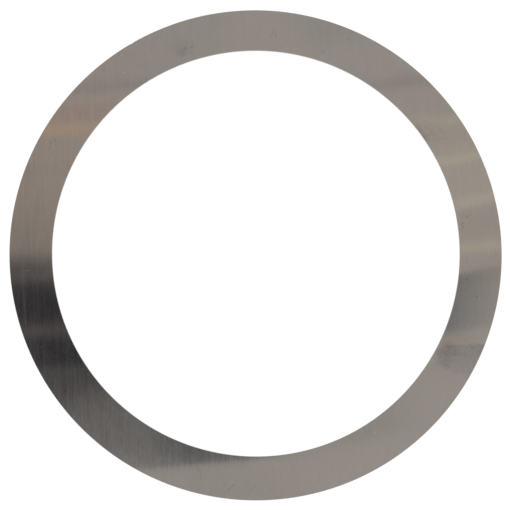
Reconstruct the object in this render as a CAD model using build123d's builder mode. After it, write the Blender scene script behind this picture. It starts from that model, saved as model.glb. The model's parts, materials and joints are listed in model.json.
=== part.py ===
from build123d import *
import os

# Shim ring, 95 x 115 x 0.5 mm: a flat spacer blanked from cold-rolled steel strip.
#
# One piece. It is slipped over a 95 mm shaft, or laid in a 115 mm housing, to take up end play
# beside a bearing, gear or retaining ring. Both contours are cut in one stroke of a compound
# die, so the rolled-over corners are on the upper face and the torn edges are on the lower one.

# The sizes that the ring is ordered by (mm).
shaft_diameter = 95.0  # the shaft that it slips over
ring_width = 10.0  # from the shaft out to the housing, on one side
thickness = 0.5  # the rolled strip

# How far each cut contour keeps clear of its nominal diameter (mm, on the diameter).
bore_allowance = 0.12  # the bore is this much wider than the shaft
rim_allowance = 0.12  # the rim is this much narrower than the housing

# The blanked edge. From the upper face down, it is a rolled corner, a straight sheared land
# and a torn zone that falls back from the land, down to a corner that is broken by deburring.
# On thin strip, no corner takes more than half of its own wall.
roll_radius = 0.08
torn_share = 0.4  # the part of the thickness that tears instead of shearing
torn_setback = 0.02  # how far the torn zone falls back
deburr_size = 0.03

housing_diameter = shaft_diameter + 2 * ring_width
bore_radius = (shaft_diameter + bore_allowance) / 2
rim_radius = (housing_diameter - rim_allowance) / 2
torn_height = torn_share * thickness
sheared_height = thickness - torn_height

with BuildPart() as shim_ring:
    # The section of the strip between the bore and the rim, with its lower face on Z = 0.
    with BuildSketch(Plane.XZ) as section:
        with BuildLine():
            Polyline(
                (bore_radius + torn_setback, 0),
                (rim_radius - torn_setback, 0),
                (rim_radius, torn_height),
                (rim_radius, thickness),
                (bore_radius, thickness),
                (bore_radius, torn_height),
                close=True,
            )
        make_face()
        upper_corners = section.vertices().group_by(Axis.Y)[-1]
        fillet(upper_corners, radius=min(roll_radius, sheared_height / 2))
        lower_corners = section.vertices().group_by(Axis.Y)[0]
        chamfer(lower_corners, length=min(deburr_size, torn_height / 2))
    revolve(axis=Axis.Z)

shim_ring.part.label = "shim_ring"

os.makedirs("parts", exist_ok=True)
export_step(shim_ring.part, "parts/shim_ring.step")
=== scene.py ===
import json
import math

import bpy
from mathutils import Matrix, Vector


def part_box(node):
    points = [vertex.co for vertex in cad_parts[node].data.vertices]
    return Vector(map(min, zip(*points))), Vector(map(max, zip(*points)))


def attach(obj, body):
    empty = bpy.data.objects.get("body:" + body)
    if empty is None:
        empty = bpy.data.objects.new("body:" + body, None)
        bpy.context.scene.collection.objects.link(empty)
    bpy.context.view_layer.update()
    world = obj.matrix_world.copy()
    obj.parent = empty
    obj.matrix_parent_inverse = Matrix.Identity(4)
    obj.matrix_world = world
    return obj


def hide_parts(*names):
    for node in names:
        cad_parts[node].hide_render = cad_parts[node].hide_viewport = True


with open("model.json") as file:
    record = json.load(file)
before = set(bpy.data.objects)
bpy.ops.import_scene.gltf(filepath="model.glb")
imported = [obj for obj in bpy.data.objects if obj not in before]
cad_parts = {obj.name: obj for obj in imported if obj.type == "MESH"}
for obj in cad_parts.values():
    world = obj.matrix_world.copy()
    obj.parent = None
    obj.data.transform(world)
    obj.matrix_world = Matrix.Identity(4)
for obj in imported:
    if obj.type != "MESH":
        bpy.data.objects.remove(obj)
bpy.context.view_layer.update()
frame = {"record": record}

# A shim ring of bright cold-rolled steel, lying on a white table under a camera.
# Lengths are in metres. The rolling grain of the strip runs to the back (+Y).

MM = 0.001

# The ring's sizes, from the frame.
mounts = {mount["name"]: mount for mount in frame["record"]["mounts"]}
BORE = mounts["bore"]["dims"]["r_mm"] * MM
RIM = mounts["rim"]["dims"]["r_mm"] * MM
FLOOR, TOP = (corner.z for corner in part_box("shim_ring"))
THICKNESS = TOP - FLOOR

# The grain leans a little to the left of +Y.
GRAIN_LEAN = math.radians(2.0)


class Nodes:
    """Adds shader nodes to one tree. Every input is a socket or a plain value."""

    def __init__(self, tree):
        self.tree = tree

    def add(self, kind, inputs=None, **settings):
        node = self.tree.nodes.new(kind)
        for name, value in settings.items():
            setattr(node, name, value)
        for name, value in (inputs or {}).items():
            self.put(node.inputs[name], value)
        return node

    def put(self, socket, value):
        if isinstance(value, bpy.types.NodeSocket):
            self.tree.links.new(value, socket)
        else:
            socket.default_value = value

    def math(self, operation, *values):
        node = self.add("ShaderNodeMath", operation=operation)
        for socket, value in zip(node.inputs, values):
            self.put(socket, value)
        return node.outputs[0]

    def vector_math(self, operation, first, second):
        """Both outputs of a vector operation: 0 is the vector, and "Value" is the number."""
        return self.add("ShaderNodeVectorMath", {0: first, 1: second}, operation=operation).outputs

    def sum(self, first, *rest):
        for value in rest:
            first = self.math("ADD", first, value)
        return first

    def product(self, first, *rest):
        for value in rest:
            first = self.math("MULTIPLY", first, value)
        return first

    def vary(self, value, factor, base=1.0):
        """The base, plus value times factor."""
        return self.math("MULTIPLY_ADD", value, factor, base)

    def step(self, value, start, end, low=0.0, high=1.0):
        """Goes smoothly from low to high while value goes from start to end."""
        inputs = {"Value": value, "From Min": start, "From Max": end, "To Min": low, "To Max": high}
        return self.add("ShaderNodeMapRange", inputs, interpolation_type="SMOOTHSTEP").outputs["Result"]

    def mix(self, factor, first, second):
        """Two colours, mixed by factor."""
        node = self.add("ShaderNodeMix", data_type="RGBA", blend_type="MIX")
        self.put(node.inputs["Factor"], factor)
        self.put(node.inputs[6], first)
        self.put(node.inputs[7], second)
        return node.outputs[2]

    def apart(self, place, spot):
        """The distance between two points."""
        return self.vector_math("DISTANCE", place, spot)["Value"]

    def vector(self, x, y, z=0.0):
        return self.add("ShaderNodeCombineXYZ", {"X": x, "Y": y, "Z": z}).outputs[0]

    def axes(self, vector):
        return self.add("ShaderNodeSeparateXYZ", {"Vector": vector}).outputs

    def noise(self, vector, detail=0.0, roughness=0.5):
        """Smooth noise of about 0.5, with one cycle for each unit of vector."""
        inputs = {"Vector": vector, "Scale": 1.0, "Detail": detail, "Roughness": roughness}
        inputs["Distortion"] = 0.0
        return self.add("ShaderNodeTexNoise", inputs).outputs["Fac"]


def colour(red, green, blue):
    return (red, green, blue, 1.0)


# ---------------------------------------------------------------- the ring's mesh

SEGMENTS = 1440

# The section of the cut edge: a rolled upper corner, a straight wall, a torn zone that falls
# back towards the floor, and a deburred lower corner.
ROLL = 0.08 * MM
ROLL_STEPS = 6
TORN_HEIGHT = 0.2 * MM
TORN_SETBACK = 0.02 * MM
DEBURR = 0.03 * MM

# a small nick in the rim, at the upper left
NICK_TURN = math.radians(121.0)
NICK_HALF_WIDTH = 0.45 * MM
NICK_DEPTH = 0.09 * MM


def section():
    """The cut edge, from the lower face to the upper one, as points of setback and height."""
    # the deburred corner, rounded in two steps, and then the torn zone
    points = [(TORN_SETBACK + DEBURR, 0.0), (TORN_SETBACK + DEBURR * 0.3, DEBURR * 0.3)]
    points.append((TORN_SETBACK * 0.9, DEBURR))
    points += [(TORN_SETBACK * 0.45, (DEBURR + TORN_HEIGHT) / 2), (0.0, TORN_HEIGHT)]
    corner = THICKNESS - ROLL
    points.append((0.0, (TORN_HEIGHT + corner) / 2))
    for step in range(ROLL_STEPS + 1):
        angle = math.radians(90) * step / ROLL_STEPS
        points.append((ROLL * (1 - math.cos(angle)), corner + ROLL * math.sin(angle)))
    return points


def ring_mesh(name):
    """The ring, with a UV map in millimetres.

    On the two faces the map runs across and along the grain, and on the walls round and up.
    """
    half = section()
    verts, faces = [], []
    for segment in range(SEGMENTS):
        angle = math.tau * segment / SEGMENTS
        nick = NICK_DEPTH * math.exp(-((angle - NICK_TURN) * RIM / NICK_HALF_WIDTH) ** 2)
        rows = [(RIM - nick - back, height) for back, height in half]
        rows += [(BORE + back, height) for back, height in reversed(half)]
        for radius, height in rows:
            verts.append((radius * math.cos(angle), radius * math.sin(angle), FLOOR + height))
    count = len(rows)
    for segment in range(SEGMENTS):
        here, there = segment * count, (segment + 1) % SEGMENTS * count
        for row in range(count):
            after = (row + 1) % count
            faces.append((here + row, there + row, there + after, here + after))
    mesh = bpy.data.meshes.new(name)
    mesh.from_pydata(verts, [], faces)
    flat_rows = {len(half) - 1, count - 1}
    grain_map = mesh.uv_layers.new(name="grain")
    for polygon in mesh.polygons:
        row = polygon.index % count
        polygon.use_smooth = row not in flat_rows
        for loop in polygon.loop_indices:
            spot = mesh.vertices[mesh.loops[loop].vertex_index].co
            if row in flat_rows:
                across = spot.x * math.cos(GRAIN_LEAN) + spot.y * math.sin(GRAIN_LEAN)
                along = spot.y * math.cos(GRAIN_LEAN) - spot.x * math.sin(GRAIN_LEAN)
                place = (across / MM, along / MM)
            else:
                segment = polygon.index // count
                turn = segment + (mesh.loops[loop].vertex_index // count != segment)
                place = (RIM * math.tau * turn / SEGMENTS / MM, spot.z / MM)
            grain_map.data[loop].uv = place
    mesh.validate()
    return mesh


# ---------------------------------------------------------------- the marks

# Marks on the upper face, in millimetres from the ring's centre. A strength is the share of the
# light that a mark takes, and one below zero makes it brighter.
# Specks with a strength below zero are painted glints: spots of brighter colour in place of light caught by
# the steel.
SPECKS_AND_GLINTS = [
    # x, y, radius, strength
    (-16.9, 48.0, 0.70, 0.17), (-19.6, 47.7, 0.38, 0.15), (-15.4, 48.3, 0.40, 0.18),
    (-36.2, 42.6, 0.45, 0.12), (-47.4, 25.7, 0.60, 0.13), (-48.3, 25.3, 0.45, 0.10),
    (49.35, 7.75, 0.43, 0.23), (50.3, 8.2, 0.35, 0.14), (48.4, 6.2, 0.38, 0.21),
    (48.1, 5.8, 0.36, 0.21), (48.5, 5.4, 0.38, 0.22), (48.1, 4.6, 0.34, 0.17),
    (49.8, 6.1, 0.35, 0.12), (49.0, -6.9, 0.42, 0.22), (49.4, -7.25, 0.38, 0.16),
    (51.3, -11.0, 0.28, 0.25), (45.0, -22.5, 0.80, 0.05), (40.3, 29.1, 0.60, 0.08),
    (38.6, 29.9, 0.45, 0.08), (44.8, 28.0, 0.40, 0.05), (42.3, 28.6, 0.35, -0.09),
    (12.8, 52.7, 0.35, 0.05), (21.9, 50.4, 0.42, 0.14), (15.8, 47.3, 0.42, 0.14),
    (-13.6, -50.3, 0.40, 0.08), (-32.0, 46.35, 0.32, -0.26), (-31.5, 42.1, 0.32, -0.26),
    (27.2, -42.2, 0.34, -0.28),
]
SCRATCHES = [
    # from x, y, to x, y, half width, strength
    (44.3, 26.6, 45.2, 26.1, 0.30, 0.075), (40.4, 27.0, 41.4, 27.6, 0.32, 0.08),
    (41.4, 25.8, 42.6, 26.4, 0.30, 0.06), (-48.3, 25.0, -48.8, 23.6, 0.30, 0.10),
    (3.75, 52.9, 3.9, 51.5, 0.22, 0.11), (4.45, 52.9, 4.6, 50.9, 0.22, 0.13),
    (3.5, 51.5, 3.65, 50.7, 0.22, 0.11), (-13.7, -50.1, -13.0, -51.0, 0.24, 0.08),
    (-13.0, -51.0, -12.75, -52.9, 0.24, 0.06), (-6.7, -55.2, -5.1, -53.7, 0.25, 0.14),
    (-1.7, -55.5, -0.3, -53.7, 0.25, 0.08),
]
# Two scratches are bright: a long one along the grain, and a short one across it. Their strength
# is the share of the light that they scatter.
BRIGHT_SCRATCHES = [
    (-54.45, -4.3, -53.3, -17.4, 0.29, 0.075), (-53.5, -4.95, -52.9, -4.85, 0.26, 0.14),
]
# Soft streaks along the grain, darker and brighter, and wider patches at the top and the bottom.
STREAKS = [
    # x, y, half width, half length, strength
    (-46.8, -24.8, 1.5, 3.0, 0.14), (-43.0, -25.0, 1.2, 2.2, 0.05), (-42.4, -36.7, 1.3, 3.0, 0.06),
    (-53.4, -1.5, 1.2, 6.0, 0.08), (-53.2, 17.5, 1.2, 3.5, 0.030), (-37.4, -31.5, 1.3, 3.0, 0.06),
    (-34.5, -43.5, 1.6, 2.4, 0.030), (-49.9, -25.3, 0.9, 3.0, 0.09), (-52.9, -11.8, 1.0, 4.0, 0.06),
    (-51.4, -22.5, 1.3, 3.0, -0.13), (-48.9, -6.0, 1.1, 4.5, -0.07), (-41.3, -26.9, 1.2, 2.2, -0.03),
    (-40.2, -29.0, 1.2, 2.4, 0.05), (-47.8, 10.0, 1.1, 5.0, -0.025), (-54.5, -14.0, 1.0, 4.0, -0.08),
    (-43.6, -21.8, 1.3, 2.4, -0.07), (-42.7, -32.6, 1.3, 2.4, 0.05), (3.4, -48.6, 2.5, 1.5, -0.025),
    (-28.8, -47.8, 2.0, 1.5, -0.022), (-21.3, -48.6, 1.6, 1.3, -0.05), (-15.2, -46.6, 1.8, 1.1, 0.06),
    (-0.5, -48.8, 2.2, 1.3, -0.03), (-31.5, 46.9, 2.0, 1.5, 0.03), (-9.5, 54.7, 2.2, 1.6, 0.022),
    (-15.6, 48.8, 1.8, 1.3, 0.03), (54.6, 2.6, 1.2, 3.0, -0.025),
]
STREAK_SOFTNESS = 1.6
# Brown tints: three beside the stain, and two in the smudge at the top.
BROWN_TINTS = [
    # x, y, half width, half height, softness, strength
    (44.4, -22.2, 1.3, 0.95, 1.4, 0.13), (46.0, -21.0, 4.6, 1.5, 0.8, 0.07),
    (42.2, -23.6, 0.9, 1.4, 1.2, 0.11), (-17.7, 46.9, 0.95, 0.85, 1.5, 0.07),
    (-17.9, 48.3, 2.8, 2.2, 1.2, 0.045),
]
# Two grey patches at the top: x, y, half width and half height.
SMUDGE = (-17.7, 46.9, 1.0, 0.8)
SMUDGE_STRENGTH = 0.06
HAZE = (14.8, 50.8, 3.4, 4.2)
HAZE_STRENGTH = 0.02

# The point that the fingerprint's ridges arch over, the pitch of the ridges, and the strength of
# the ridges and of the smear beside them.
PRINT_CENTRE = (43.2, 22.3, 0.0)
PRINT_PITCH = 0.62
PRINT_STRENGTH = 0.13

# On the walls: the blade's lines for each millimetre round the ring, and how many millimetres the
# border of the torn zone strays.
BLADE_LINES = 20.0
BORDER_STRAY = 0.16


class Steel(Nodes):
    """The nodes of one steel surface. Lengths in it are in millimetres."""

    def __init__(self, tree):
        super().__init__(tree)
        place = self.add("ShaderNodeTexCoord").outputs["Object"]
        self.place = self.vector_math("MULTIPLY", place, (1 / MM,) * 3)[0]
        self.x, self.y, self.z = self.axes(self.place)
        cosine, sine = math.cos(GRAIN_LEAN), math.sin(GRAIN_LEAN)
        self.across = self.sum(self.product(self.x, cosine), self.product(self.y, sine))
        self.along = self.sum(self.product(self.y, cosine), self.product(self.x, -sine))

    def lines(self, pitch, length, seed, detail=0.0, roughness=0.5):
        """Noise drawn out along the grain, from -0.5 to 0.5."""
        spot = self.vector(self.product(self.across, 1 / pitch), self.product(self.along, 1 / length), seed)
        return self.math("SUBTRACT", self.noise(spot, detail, roughness), 0.5)

    def cloud(self, size, seed, detail=2.0):
        """Noise of patches, from -0.5 to 0.5."""
        spot = self.vector(self.product(self.x, 1 / size), self.product(self.y, 1 / size), seed)
        return self.math("SUBTRACT", self.noise(spot, detail, 0.6), 0.5)

    def torn(self, size, seed, reach):
        """The place, shifted by noise, so that a mark gets an uneven edge."""
        x = self.vary(self.cloud(size, seed), reach, self.x)
        y = self.vary(self.cloud(size, seed + 9.0), reach, self.y)
        return self.vector(x, y)

    def speck_or_glint(self, place, x, y, radius, strength):
        return self.step(self.apart(place, (x, y, 0.0)), radius, 0.15 * radius, 0.0, strength)

    def scratch(self, place, x0, y0, x1, y1, half_width, strength):
        """A scratch fades out beyond its ends as it does to its sides."""
        run = Vector((x1 - x0, y1 - y0, 0.0))
        offset = self.vector_math("SUBTRACT", place, (x0, y0, 0.0))[0]
        share = self.vector_math("DOT_PRODUCT", offset, run / run.length_squared)["Value"]
        share = self.math("MINIMUM", self.math("MAXIMUM", share, 0.0), 1.0)
        foot = self.add("ShaderNodeVectorMath", {0: run, "Scale": share}, operation="SCALE").outputs[0]
        return self.step(self.apart(offset, foot), half_width, 0.0, 0.0, strength)

    def patch(self, place, x, y, half_width, half_height, soft=0.5):
        """A round patch, 1 inside and 0 outside. Soft is the share of its size that the edge takes."""
        offset = self.vector_math("SUBTRACT", place, (x, y, 0.0))[0]
        offset = self.vector_math("MULTIPLY", offset, (1 / half_width, 1 / half_height, 1.0))[0]
        return self.step(self.apart(offset, (0.0, 0.0, 0.0)), 1 + soft / 2, 1 - soft / 2)


def fingerprint(steel, place):
    """A print by the bore: what it takes of the light, and where the finger touched.

    Broken ridges arch over a point below the print, and a smear lies along the bore beside it.
    """
    ridges = steel.math("SINE", steel.product(steel.apart(place, PRINT_CENTRE), math.tau / PRINT_PITCH))
    ridges = steel.product(steel.step(ridges, -0.4, 0.9), steel.step(steel.cloud(0.8, 4.4), -0.13, 0.08))
    touch = steel.patch(place, 42.0, 26.8, 2.6, 2.9, soft=0.8)
    by_bore = steel.step(steel.apart(place, (0.0, 0.0, 0.0)), BORE / MM + 1.35, BORE / MM + 0.6)
    smear = steel.product(by_bore, steel.patch(place, 39.2, 27.5, 2.2, 2.3, soft=0.7), PRINT_STRENGTH)
    return steel.sum(steel.product(touch, ridges, PRINT_STRENGTH), smear), touch


def stain(steel, place):
    """A mottled grey stain on the lower right: what it takes of the light, and where it lies.

    Its rear edge is sharp, it is lighter towards the front, and it has two darker hearts.
    """
    x, y, _ = steel.axes(place)
    # its edges are straight lines that lean
    rear = steel.vary(x, -0.03, y)
    left = steel.math("SUBTRACT", x, y)
    front = steel.vary(x, 0.3, y)
    area = steel.product(steel.step(rear, -23.3, -24.0), steel.step(left, 64.4, 66.0),
                         steel.step(x, 40.7, 42.9), steel.step(front, -16.1, -14.0))
    mottle = steel.vary(steel.cloud(0.7, 7.7, detail=3.0), 1.5)
    depth = steel.product(steel.step(y, -28.6, -23.0, 0.10, 0.20), mottle)
    hearts = steel.sum(steel.patch(place, 44.9, -23.9, 1.8, 1.1, soft=1.0),
                       steel.patch(place, 43.0, -25.9, 1.8, 1.6, soft=1.0))
    return steel.product(area, steel.sum(depth, steel.product(hearts, mottle, 0.08))), area


def marks(steel, ragged):
    """All marks that take light, and the painted glints that add it: how much they take, where a finger
    touched, and the stain's area.
    """
    taken, touch = fingerprint(steel, steel.torn(1.2, 6.1, 0.9))
    # the dark specks, and the painted glints among them
    for speck_or_glint in SPECKS_AND_GLINTS:
        taken = steel.sum(taken, steel.speck_or_glint(ragged, *speck_or_glint))
    for scratch in SCRATCHES:
        taken = steel.sum(taken, steel.scratch(ragged, *scratch))
    for *spot, strength in STREAKS:
        streak = steel.patch(steel.place, *spot, soft=STREAK_SOFTNESS)
        taken = steel.sum(taken, steel.product(streak, strength))
    smudge = steel.patch(ragged, *SMUDGE, soft=1.0)
    taken = steel.sum(taken, steel.product(smudge, SMUDGE_STRENGTH))
    stained, stain_area = stain(steel, steel.torn(1.6, 3.9, 1.5))
    haze = steel.patch(steel.torn(2.5, 2.4, 3.0), *HAZE, soft=0.8)
    return steel.sum(taken, stained, steel.product(haze, HAZE_STRENGTH)), touch, stain_area


def cut_walls(steel, upright):
    """The blade's fine vertical lines, over a rougher torn zone with an uneven border."""
    wall = steel.step(upright, 0.6, 0.2)
    arc, height, _ = steel.axes(steel.add("ShaderNodeUVMap", uv_map="grain").outputs[0])
    cut = steel.noise(steel.vector(steel.product(arc, BLADE_LINES), steel.product(height, 1.5), 4.1), 1.0)
    cut = steel.math("SUBTRACT", cut, 0.5)
    border = steel.noise(steel.vector(steel.product(arc, 1.3), 0.0, 8.2), 2.0)
    border = steel.vary(border, BORDER_STRAY, TORN_HEIGHT / MM - BORDER_STRAY / 2)
    torn = steel.product(wall, steel.step(steel.math("SUBTRACT", border, height), -0.02, 0.02))
    return wall, cut, torn


# ---------------------------------------------------------------- the steel

STEEL_COLOUR = (0.45, 0.4185, 0.396)
# how strongly a brown tint takes red, green and blue
BROWN_TAKES = (0.7, 1.0, 1.3)
# how much bluer the stain is
COOL_TINT = 0.05

# how metallic and how rough the faces are, and what the walls and their torn zone add
METALLIC = 0.962
ROUGHNESS = 0.065
WALL_ROUGHNESS = 0.15
TORN_ROUGHNESS = 0.25

# the slope of the faces' fine waves across the grain
WAVE_SLOPE = 0.006
# The right side of the ring is a little twisted: its slope along Y changes by TWIST for each
# millimetre to the right of TWIST_CENTRE.
TWIST = -0.00034
TWIST_CENTRE = 52.0
# the scale of the relief on the walls
WALL_RELIEF = 0.004 * MM


def rolled_steel():
    material = bpy.data.materials.new("rolled_steel")
    material.use_nodes = True
    material.node_tree.nodes.clear()
    steel = Steel(material.node_tree)

    # how far the surface faces up or down, and where it is flat and on the upper face
    face = steel.add("ShaderNodeNewGeometry").outputs["Normal"]
    upright = steel.math("ABSOLUTE", steel.axes(face)[2])
    flat = steel.step(upright, 0.8, 0.98)
    upper = steel.product(flat, steel.step(steel.z, THICKNESS / MM * 0.6, THICKNESS / MM * 0.9))

    # the grain: long streaks, short fibres and shorter hairs
    fine = steel.lines(pitch=0.36, length=9.0, seed=5.3, detail=1.0, roughness=0.6)
    broad = steel.lines(pitch=1.3, length=70.0, seed=8.7, detail=2.0, roughness=0.6)
    streaks = steel.sum(steel.product(fine, 0.9), steel.product(broad, 0.3))
    fibres = steel.lines(pitch=0.38, length=2.0, seed=7.1, detail=1.0, roughness=0.7)
    hairs = steel.lines(pitch=0.28, length=0.8, seed=3.3)
    # its contrast is raised on the lower left, down to the line where the dark sleeve's reflection ends:
    # real grain, with painted reflection in the extra contrast
    front = steel.vary(steel.x, -0.08, steel.y)
    sleeve_reflection_grain = steel.product(steel.step(steel.y, -24.0, -36.0), steel.step(front, -49.4, -47.8),
                           steel.step(steel.x, 8.0, -6.0))

    wall, cut, torn = cut_walls(steel, upright)
    ragged = steel.torn(0.5, 1.3, 0.35)
    taken, touch, stain_area = marks(steel, ragged)
    taken = steel.product(taken, upper)
    worn = steel.torn(1.0, 5.5, 1.0)
    tints = [steel.product(steel.patch(worn, *spot, soft=softness), strength)
             for *spot, softness, strength in BROWN_TINTS]
    brown = steel.product(steel.sum(*tints), upper)

    # how light the steel is: the grain shows more on the left, where it mirrors the dark sleeve, and this
    # extra contrast in the colour is painted reflection
    contrast = steel.sum(steel.product(sleeve_reflection_grain, 0.19), steel.step(steel.x, -30.0, -46.0, 0.08, 0.155))
    shade = steel.product(
        steel.vary(streaks, contrast),
        steel.math("SUBTRACT", 1.0, taken),
        steel.vary(steel.cloud(3.0, 2.9), 0.02),
        steel.vary(fibres, steel.vary(sleeve_reflection_grain, 0.20, 0.10)),
        steel.vary(torn, -0.22),
        steel.vary(steel.product(cut, wall), steel.vary(torn, 0.5, 0.35)))
    red, green, blue = [steel.product(shade, steel.vary(brown, -takes), part)
                        for takes, part in zip(BROWN_TAKES, STEEL_COLOUR)]
    cool = steel.product(steel.sum(stain_area, steel.product(touch, 0.4)), upper)
    blue = steel.product(blue, steel.vary(cool, COOL_TINT))

    # the slope of the faces, and the relief of the walls
    turned = steel.step(steel.x, 38.0, 46.0, 0.0, TWIST)
    twist = steel.product(steel.math("SUBTRACT", steel.x, TWIST_CENTRE), turned)
    waves = steel.lines(pitch=0.42, length=30.0, seed=1.9, detail=1.0)
    slope = steel.vector(steel.product(waves, flat, WAVE_SLOPE), steel.product(twist, flat))
    leaning = steel.vector_math("ADD", face, slope)[0]
    leaning = steel.add("ShaderNodeVectorMath", {0: leaning}, operation="NORMALIZE").outputs[0]
    relief = {"Strength": 1.0, "Distance": WALL_RELIEF, "Normal": leaning}
    relief["Height"] = steel.product(cut, wall, steel.vary(torn, 9.0))
    normal = steel.add("ShaderNodeBump", relief).outputs[0]

    finish = steel.vary(streaks, 0.05, ROUGHNESS)
    finish = steel.sum(finish, steel.product(wall, WALL_ROUGHNESS), steel.product(torn, TORN_ROUGHNESS))

    # the share that the grain and the bright scratches scatter, which shows in dark reflections
    scatter = steel.sum(
        steel.product(streaks, steel.vary(sleeve_reflection_grain, 0.01, 0.053)),
        steel.product(fibres, 0.05),
        steel.product(hairs, 0.04),
        *[steel.scratch(ragged, *scratch) for scratch in BRIGHT_SCRATCHES])

    shader = steel.add("ShaderNodeBsdfPrincipled", {
        "Base Color": steel.vector(red, green, blue),
        "Metallic": steel.math("MINIMUM", steel.math("SUBTRACT", METALLIC, scatter), 1.0),
        "Roughness": finish,
        "Anisotropic": 1.0,
        "Normal": normal,
        "Tangent": steel.add("ShaderNodeTangent", direction_type="UV_MAP", uv_map="grain").outputs[0],
    })
    steel.add("ShaderNodeOutputMaterial", {"Surface": shader.outputs[0]})
    return material


# ---------------------------------------------------------------- the studio

# What hangs over the table, as the ring mirrors it. A place is the tangent of its angle from
# straight up: front and rear count towards the back (+Y), left and right towards +X.
# A slanted shape moves back by slant for each unit to the right of its pivot. From the photo's
# angle the ring mirrors nothing beyond FAR.
LIGHT = (0.578, 0.560, 0.545)
SHADE = (0.030, 0.032, 0.040)
CAMERA_COLOUR = (0.048, 0.085, 0.130)
FAR = 0.4
SLEEVE_SLANT = dict(slant=0.08, pivot=-0.032)
CAMERA_SLANT = dict(slant=0.05, pivot=0.23)

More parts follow.
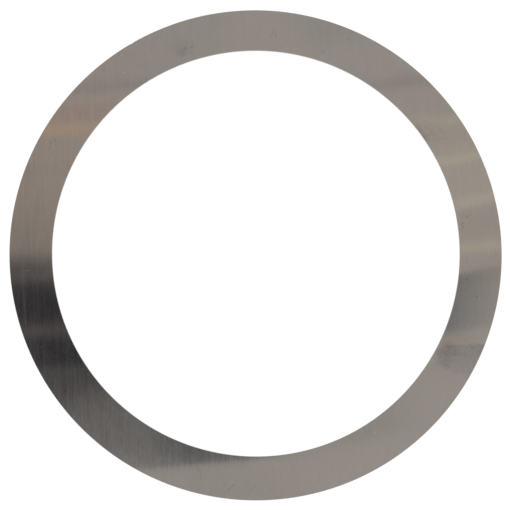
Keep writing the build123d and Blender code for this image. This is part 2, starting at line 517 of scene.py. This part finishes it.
OVERHEAD = [
    # The plain light is stronger on the right and warmer on the left. Faint bands cross its left
    # part, it changes at the back and the front, and a grey shape stands in front of the camera.
    dict(front=-0.30, rear=0.262, rear_soft=0.03, left=0.03, side_soft=0.06, tint=(0.63, 0.607, 0.575)),
    dict(front=0.02, rear=0.288, rear_soft=0.035, right=-0.10, side_soft=0.05, tint=(0.580, 0.521, 0.468)),
    dict(front=0.06, rear=0.27, soft=0.02, left=0.13, side_soft=0.03, tint=(0.620, 0.585, 0.541)),
    dict(front=0.10, rear=0.213, front_soft=0.02, rear_soft=0.006, right=-0.165, side_soft=0.035,
         cover=0.045, tint=SHADE),
    dict(front=0.10, rear=0.20, soft=0.03, right=-0.199, side_soft=0.01, cover=0.045, tint=SHADE),
    dict(front=0.1735, rear=0.1865, soft=0.004, right=-0.12, slant=0.05, pivot=-0.188,
         cover=0.055, tint=SHADE),
    dict(front=0.28, rear=0.50, front_soft=0.02, left=-0.01, side_soft=0.02, tint=(0.620, 0.597, 0.574)),
    dict(front=-0.30, rear=-0.134, rear_soft=0.01, left=0.0, side_soft=0.03, cover=0.03, tint=SHADE),
    dict(front=0.312, rear=0.50, front_soft=0.025, left=0.068, side_soft=0.02, tint=(0.560, 0.545, 0.533)),
    dict(front=-0.30, rear=-0.03, rear_soft=0.02, left=0.07, side_soft=0.03, tint=(0.638, 0.615, 0.598)),
    dict(front=-0.0935, rear=0.0, front_soft=0.0055, rear_soft=0.02, left=0.088, right=0.16, side_soft=0.035,
         slant=0.3, pivot=0.12, tint=(0.530, 0.522, 0.508)),
    # On the left, from back to front: a soft dark strip, a pale one, a reddish one and a tan one.
    dict(front=0.2585, rear=0.2695, soft=0.006, right=-0.07, slant=0.10, pivot=-0.13, cover=0.94,
         tint=(0.475, 0.448, 0.430)),
    dict(front=0.2455, rear=0.2565, soft=0.004, right=-0.09, slant=0.1, pivot=-0.16,
         tint=(0.610, 0.550, 0.500)),
    dict(front=0.229, rear=0.2455, soft=0.005, right=-0.128, side_soft=0.018, slant=0.08, pivot=-0.165,
         tint=(0.586, 0.472, 0.428)),
    dict(front=0.2163, rear=0.2263, soft=0.003, right=-0.09, slant=0.075, pivot=-0.17,
         tint=(0.718, 0.564, 0.420)),
    # On the right, from back to front: a soft dark strip, a yellowish one, and a pale gap.
    dict(front=0.2655, rear=0.2735, soft=0.006, left=0.12, slant=0.15, pivot=0.164,
         tint=(0.50, 0.482, 0.46)),
    dict(front=0.2290, rear=0.2395, soft=0.005, left=0.188, side_soft=0.015, slant=0.05, pivot=0.20,
         tint=(0.735, 0.694, 0.595)),
    dict(front=0.205, rear=0.226, soft=0.005, left=0.18, side_soft=0.03, slant=0.05, pivot=0.20,
         cover=0.5, tint=(0.70, 0.65, 0.59)),
    # In front of them: a window, its two bright bars, and one more bright strip.
    dict(front=0.141, rear=0.2102, front_soft=0.003, rear_soft=0.006, left=0.14, slant=0.03, pivot=0.24,
         tint=(0.682, 0.644, 0.587)),
    dict(front=0.190, rear=0.198, soft=0.004, left=0.14, slant=0.05, pivot=0.235,
         tint=(0.798, 0.760, 0.645)),
    dict(front=0.1435, rear=0.1540, soft=0.0035, left=0.14, slant=0.05, pivot=0.24,
         tint=(0.765, 0.728, 0.632)),
    dict(front=0.0970, rear=0.1060, soft=0.004, left=0.14, slant=-0.08, pivot=0.24,
         tint=(0.785, 0.738, 0.622)),
    # The dark sleeve on the left. Its rear part has a soft edge, a darker body and a thin line.
    dict(front=0.02, rear=0.131, rear_soft=0.055, front_soft=0.01, left=-FAR, right=-0.03, side_soft=0.04,
         cover=0.27, tint=SHADE),
    dict(front=0.015, rear=0.0900, rear_soft=0.0125, front_soft=0.01, left=-FAR, right=0.0, side_soft=0.04,
         cover=0.65, tint=SHADE),
    dict(front=0.0750, rear=0.0800, soft=0.003, left=-FAR, right=-0.187, cover=0.15, tint=SHADE),
    # Its front part gets darker towards the back.
    dict(front=-0.1141, rear=0.03, front_soft=0.0012, rear_soft=0.01, left=-FAR, right=0.036, side_soft=0.02,
         cover=0.37, fade=(-0.1137, -0.05, 0.60), tint=SHADE, **SLEEVE_SLANT),
    dict(front=-0.0455, rear=0.055, front_soft=0.018, rear_soft=0.01, left=-FAR, right=0.0, side_soft=0.02,
         slant=0.25, pivot=-0.145, cover=0.668, tint=SHADE),
    # Two dark folds lie in the middle, the rear one in two layers, with a lighter gap between them.
    dict(front=-0.0190, rear=0.0100, front_soft=0.005, rear_soft=0.007, left=-FAR, right=0.0,
         slant=0.05, pivot=-0.18, cover=0.91, tint=SHADE),
    dict(front=0.0285, rear=0.0660, front_soft=0.013, rear_soft=0.006, left=-FAR, right=0.0,
         cover=0.62, tint=SHADE),
    dict(front=0.0275, rear=0.0600, front_soft=0.013, rear_soft=0.010, left=-FAR, right=0.0,
         cover=0.64, tint=SHADE),
    dict(front=0.0138, rear=0.0230, soft=0.0040, left=-FAR, right=0.0, slant=0.07, pivot=-0.192,
         cover=0.25, tint=(0.205, 0.182, 0.165)),
    # Along its front edge: two bluish shadows, a faint dark line, and a paler part at the left.
    dict(front=-0.1137, rear=0.0, front_soft=0.001, left=-0.0765, right=0.028, side_soft=0.008,
         cover=0.22, fade=(-0.114, -0.094, 0.46), tint=(0.05, 0.12, 0.145), **SLEEVE_SLANT),
    dict(front=-0.1137, rear=0.0, front_soft=0.001, left=-0.0595, right=0.02, side_soft=0.0085,
         cover=0.26, tint=(0.02, 0.03, 0.06), **SLEEVE_SLANT),
    dict(front=-0.1178, rear=-0.1125, front_soft=0.003, rear_soft=0.001, left=-FAR, right=0.0,
         side_soft=0.015, cover=0.06, tint=SHADE, **SLEEVE_SLANT),
    dict(front=-0.1137, rear=-0.1035, front_soft=0.001, rear_soft=0.006, left=-FAR, right=-0.083,
         side_soft=0.012, cover=0.11, tint=LIGHT, **SLEEVE_SLANT),
    # Four faint patches lie on the sleeve, two at its rear and two further to the front.
    dict(front=0.071, rear=0.093, soft=0.006, left=-0.192, right=-0.15, side_soft=0.007,
         cover=0.06, tint=(0.30, 0.42, 0.42)),
    dict(front=0.045, rear=0.078, soft=0.005, left=-FAR, right=-0.203, side_soft=0.006,
         cover=0.08, tint=SHADE),
    dict(front=-0.105, rear=-0.05, soft=0.01, left=-FAR, right=-0.114, side_soft=0.012,
         cover=0.075, tint=SHADE),
    dict(front=-0.06, rear=0.0, soft=0.015, left=-FAR, right=-0.178, side_soft=0.014,
         cover=0.13, tint=(0.33, 0.33, 0.335)),
    # The camera hangs over the middle and the right: a faint rear edge that reaches further to the
    # right, then its dark body, and a paler spot to the right of its front.
    dict(front=0.0635, rear=0.0765, front_soft=0.005, rear_soft=0.0025, left=-0.05, right=0.30,
         side_soft=0.04, cover=0.05, tint=CAMERA_COLOUR, **CAMERA_SLANT),
    dict(front=0.0187, rear=0.0765, front_soft=0.0055, rear_soft=0.0025, left=-0.05, right=0.218,
         skew=0.15, side_soft=0.07, tint=CAMERA_COLOUR, **CAMERA_SLANT),
    dict(front=0.015, rear=0.035, soft=0.006, left=0.234, side_soft=0.012, cover=0.25,
         tint=(0.63, 0.60, 0.57)),
]

# The room round the table: its light low down and high up, the number of its darker panels and
# how dark they are. The shapes above take its place where a direction's Z is above these two.
ROOM_LOW = (1.16, 1.16, 1.16)
ROOM_HIGH = (0.87, 0.87, 0.87)
ROOM_PANELS = 5
PANEL_SHADE = 0.28
OVERHEAD_STARTS = 0.85
OVERHEAD_FULL = 0.92

TABLE_SIZE = 6.0
TABLE_GAP = 0.02 * MM
TABLE_COLOUR = (0.86, 0.86, 0.86)
TABLE_GLOW = 1.07
TABLE_GLOW_SHARE = 0.9


def overhead(nodes, light, place, front, rear, tint, soft=0.004, front_soft=None, rear_soft=None,
             left=None, right=None, side_soft=0.01, skew=0.0, slant=0.0, pivot=0.0, cover=1.0, fade=None):
    """Lays one shape over the light. Its right side moves right by skew for each unit to the back.

    A fade (start, end, last) takes the cover to last as the place goes back from start to end.
    """
    aside, back = place
    if slant:
        back = nodes.math("SUBTRACT", back, nodes.product(nodes.math("SUBTRACT", aside, pivot), slant))
    front_soft, rear_soft = front_soft or soft, rear_soft or soft
    mask = nodes.step(back, front - front_soft, front + front_soft)
    mask = nodes.product(mask, nodes.step(back, rear + rear_soft, rear - rear_soft))
    if left is not None:
        mask = nodes.product(mask, nodes.step(aside, left - side_soft, left + side_soft))
    if right is not None:
        edge = aside
        if skew:
            middle = (front + rear) / 2
            edge = nodes.math("SUBTRACT", aside, nodes.product(nodes.math("SUBTRACT", back, middle), skew))
        mask = nodes.product(mask, nodes.step(edge, right + side_soft, right - side_soft))
    if fade:
        start, end, last = fade
        inputs = {"Value": back, "From Min": start, "From Max": end, "To Min": cover, "To Max": last}
        cover = nodes.add("ShaderNodeMapRange", inputs).outputs["Result"]
    return nodes.mix(nodes.product(mask, cover), light, colour(*tint))


def studio():
    """The world: white to the camera, and the overhead shapes and the room to all other rays."""
    world = bpy.data.worlds.new("studio")
    bpy.context.scene.world = world
    world.use_nodes = True
    world.node_tree.nodes.clear()
    nodes = Nodes(world.node_tree)
    x, y, z = nodes.axes(nodes.add("ShaderNodeTexCoord").outputs["Generated"])
    # the tangents of the direction, with its height kept above zero
    height = nodes.math("MAXIMUM", z, 0.05)
    place = (nodes.math("DIVIDE", x, height), nodes.math("DIVIDE", y, height))
    light = colour(*LIGHT)
    for shape in OVERHEAD:
        light = overhead(nodes, light, place, **shape)
    room = nodes.mix(nodes.step(z, 0.0, 0.9), colour(*ROOM_LOW), colour(*ROOM_HIGH))
    panels = nodes.math("SINE", nodes.product(nodes.math("ARCTAN2", y, x), ROOM_PANELS))
    panels = nodes.step(panels, -1.0, 1.0, 0.0, PANEL_SHADE)
    room = nodes.mix(panels, room, colour(0.0, 0.0, 0.0))
    light = nodes.mix(nodes.step(z, OVERHEAD_STARTS, OVERHEAD_FULL), room, light)
    seen = nodes.add("ShaderNodeLightPath").outputs["Is Camera Ray"]
    light = nodes.mix(seen, light, colour(1.0, 1.0, 1.0))
    sky = nodes.add("ShaderNodeBackground", {"Color": light, "Strength": 1.0})
    nodes.add("ShaderNodeOutputWorld", {"Surface": sky.outputs[0]})


def table_top():
    """A white table just below the ring, which glows to the camera and in reflections."""
    bpy.ops.mesh.primitive_plane_add(size=TABLE_SIZE, location=(0.0, 0.0, FLOOR - TABLE_GAP))
    table = bpy.context.object
    table.name = "table_top"
    material = bpy.data.materials.new("white_table")
    material.use_nodes = True
    material.node_tree.nodes.clear()
    nodes = Nodes(material.node_tree)
    board = nodes.add("ShaderNodeBsdfDiffuse", {"Color": colour(*TABLE_COLOUR)})
    white = nodes.add("ShaderNodeEmission", {"Color": colour(1.0, 1.0, 1.0), "Strength": TABLE_GLOW})
    path = nodes.add("ShaderNodeLightPath").outputs
    seen = nodes.math("MAXIMUM", path["Is Camera Ray"], path["Is Glossy Ray"])
    share = nodes.product(seen, TABLE_GLOW_SHARE)
    mixed = nodes.add("ShaderNodeMixShader", {0: share, 1: board.outputs[0], 2: white.outputs[0]})
    nodes.add("ShaderNodeOutputMaterial", {"Surface": mixed.outputs[0]})
    table.data.materials.append(material)


# ---------------------------------------------------------------- the camera

# The camera looks down as the photo's does. It leans to the front and the left by these angles,
# in radians. The sensor's width and the focal length are in millimetres, and a shift is a share
# of the picture's width.
CAMERA_DISTANCE = 4.0612 * RIM
LEAN_FRONT = 0.0975
LEAN_LEFT = 0.0215
SENSOR_WIDTH = 36.0
FOCAL_LENGTH = 70.44
SHIFT_X = -0.00355
SHIFT_Y = -0.01047


def camera():
    data = bpy.data.cameras.new("camera")
    data.sensor_width = SENSOR_WIDTH
    data.lens = FOCAL_LENGTH
    data.shift_x = SHIFT_X
    data.shift_y = SHIFT_Y
    camera = bpy.data.objects.new("camera", data)
    bpy.context.scene.collection.objects.link(camera)
    turn = Matrix.Rotation(LEAN_FRONT, 4, "X") @ Matrix.Rotation(-LEAN_LEFT, 4, "Y")
    camera.matrix_world = turn @ Matrix.Translation((0.0, 0.0, CAMERA_DISTANCE))
    bpy.context.scene.camera = camera


ring = bpy.data.objects.new("steel_ring", ring_mesh("steel_ring"))
bpy.context.scene.collection.objects.link(ring)
ring.data.materials.append(rolled_steel())
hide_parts("shim_ring")
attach(ring, "root")

studio()
table_top()
camera()
bpy.context.scene.view_settings.view_transform = "Standard"
